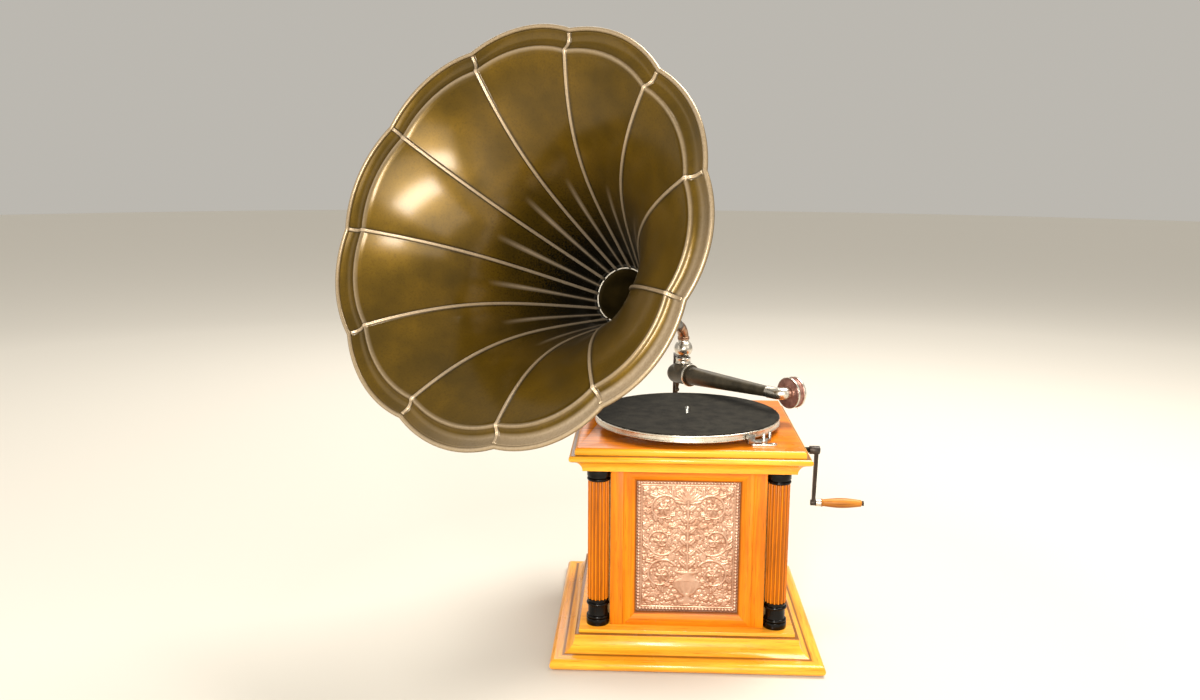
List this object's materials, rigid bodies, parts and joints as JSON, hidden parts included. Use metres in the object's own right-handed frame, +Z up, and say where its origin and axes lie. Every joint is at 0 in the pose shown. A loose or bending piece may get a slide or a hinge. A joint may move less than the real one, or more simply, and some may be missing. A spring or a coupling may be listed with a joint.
{
  "type": "horn gramophone",
  "caption": "Tabletop horn gramophone: square oak case with fluted corner columns, crank-wound spring motor, turntable, swinging tone arm with sound box and a flared petal horn.",
  "frame": {"origin": "centre of the plinth's underside, on the table", "axes": "+X right as seen from the front, on the crank's side; +Y to the back; +Z up"},
  "size_m": [0.8349, 0.6919, 0.959],
  "materials": {
    "oak": "satin varnish",
    "pine": "bare",
    "ebonised": "gloss black",
    "copper": "embossed sheet",
    "nickel": "polished plate",
    "iron": "dark casting",
    "arm_metal": "dark bronze",
    "steel": "machined",
    "brass": "machined",
    "horn_metal": "patinated sheet",
    "horn_ring": "worn",
    "felt": "felt",
    "grip_wood": "turned and polished",
    "rubber": "soft tube",
    "mica": "thin sheet",
    "bronze": "lacquered"
  },
  "bodies": {
    "case": {"plinth_moulding": "oak", "bottom_board": "pine", "base_board": "oak", "stiles": "oak", "front_panel_frame": "oak", "copper_panel": "copper", "side_panel_frames": "oak", "side_panels": "oak", "back_board": "oak", "corner_posts": "pine", "column_shafts": "oak", "column_capitals": "ebonised", "column_bases": "ebonised", "cornice_moulding": "oak", "motor_board": "oak", "wood_screws": "steel", "crank_escutcheon": "nickel", "back_bracket": "iron", "brake_plate": "nickel", "motor_top_plate": "iron", "motor_bottom_plate": "iron", "motor_pillars": "steel", "governor_brackets": "iron"},
    "turntable": {"spindle": "steel", "governor_wheel": "brass", "platter": "nickel", "felt_mat": "felt"},
    "intermediate": {"intermediate_pinion": "steel", "intermediate_wheel": "brass"},
    "barrel": {"barrel_drum": "brass", "barrel_cover": "brass", "mainspring": "steel"},
    "winding_arbor": {"barrel_arbor": "steel", "winding_wheel": "brass"},
    "governor": {"governor_shaft": "steel", "governor_weights": "brass", "governor_springs": "steel", "governor_disc": "steel"},
    "crank": {"winding_shaft": "steel", "crank_arm": "iron"},
    "grip": {"crank_grip": "grip_wood"},
    "tonearm": {"tonearm_elbow": "arm_metal", "tonearm_tube": "arm_metal"},
    "soundbox": {"soundbox_elbow": "nickel", "soundbox_back": "bronze", "soundbox_rim": "nickel", "diaphragm_gaskets": "rubber", "diaphragm": "mica", "stylus_bar": "steel", "needle": "steel"},
    "needle_clamp": {"needle_screw": "nickel"},
    "horn": {"horn_petals": "horn_metal", "horn_rim_bead": "horn_metal", "horn_throat_ring": "horn_ring", "horn_neck": "horn_metal", "horn_elbow": "horn_metal", "swivel_ball": "nickel"},
    "brake": {"brake_lever": "iron"},
    "regulator": {"regulator_knob": "nickel"},
    "regulator_arm": {"regulator_lever": "steel"}
  },
  "joints": [
    {"name": "turntable_spin", "type": "hinge", "parent": "case", "child": "turntable", "pos_m": [0, -0.022, 0.353], "axis": [0, 0, 1], "continuous": true},
    {"name": "intermediate_turn", "type": "hinge", "parent": "case", "child": "intermediate", "pos_m": [-0.02062, 0.0111, 0.2795], "axis": [0, 0, 1], "continuous": true},
    {"name": "barrel_turn", "type": "hinge", "parent": "case", "child": "barrel", "pos_m": [0.025, 0.04, 0.234], "axis": [0, 0, 1], "continuous": true},
    {"name": "governor_spin", "type": "hinge", "parent": "case", "child": "governor", "pos_m": [0, -0.047, 0.251], "axis": [1, 0, 0], "continuous": true},
    {"name": "crank_turn", "type": "hinge", "parent": "case", "child": "crank", "pos_m": [0.148, 0.015, 0.2955], "axis": [1, 0, 0], "continuous": true},
    {"name": "winding_arbor_turn", "type": "hinge", "parent": "case", "child": "winding_arbor", "pos_m": [0.025, 0.04, 0.2955], "axis": [0, 0, 1], "continuous": true},
    {"name": "grip_spin", "type": "hinge", "parent": "crank", "child": "grip", "pos_m": [0.2229, 0.0267, 0.20022], "axis": [1, 0, 0], "continuous": true},
    {"name": "tonearm_swing", "type": "hinge", "parent": "case", "child": "tonearm", "pos_m": [0, 0.19, 0.406], "axis": [0, 0, 1], "range_deg": [-36, 12]},
    {"name": "soundbox_turn", "type": "hinge", "parent": "tonearm", "child": "soundbox", "pos_m": [0.13742, 0.00563, 0.39531], "axis": [0.5972, -0.8012, 0.0384], "range_deg": [0, 100]},
    {"name": "needle_screw_turn", "type": "hinge", "parent": "soundbox", "child": "needle_clamp", "pos_m": [0.18092, 0.00877, 0.37573], "axis": [0.8018, 0.5976, 0], "range_deg": [-180, 180]},
    {"name": "horn_swivel", "type": "hinge", "parent": "case", "child": "horn", "pos_m": [0, 0.19, 0.418], "axis": [0, 0, 1], "continuous": true},
    {"name": "brake_turn", "type": "hinge", "parent": "case", "child": "brake", "pos_m": [0.1122, -0.14024, 0.349], "axis": [0, 0, 1], "range_deg": [0, 30]},
    {"name": "regulator_turn", "type": "hinge", "parent": "case", "child": "regulator", "pos_m": [-0.122, 0.122, 0.344], "axis": [0, 0, 1], "range_deg": [0, 180]},
    {"name": "regulator_arm_turn", "type": "hinge", "parent": "case", "child": "regulator_arm", "pos_m": [-0.096, 0.02, 0.3215], "axis": [0, 0, 1], "range_deg": [-2.5, 0]}
  ],
  "couplings": [
    {"joint": "intermediate_turn", "follows": "turntable_spin", "ratio": -0.3},
    {"joint": "barrel_turn", "follows": "turntable_spin", "ratio": 0.06},
    {"joint": "governor_spin", "follows": "turntable_spin", "ratio": -12},
    {"joint": "winding_arbor_turn", "follows": "crank_turn", "ratio": -0.083333},
    {"joint": "regulator_arm_turn", "follows": "regulator_turn", "ratio": -0.0125}
  ]
}
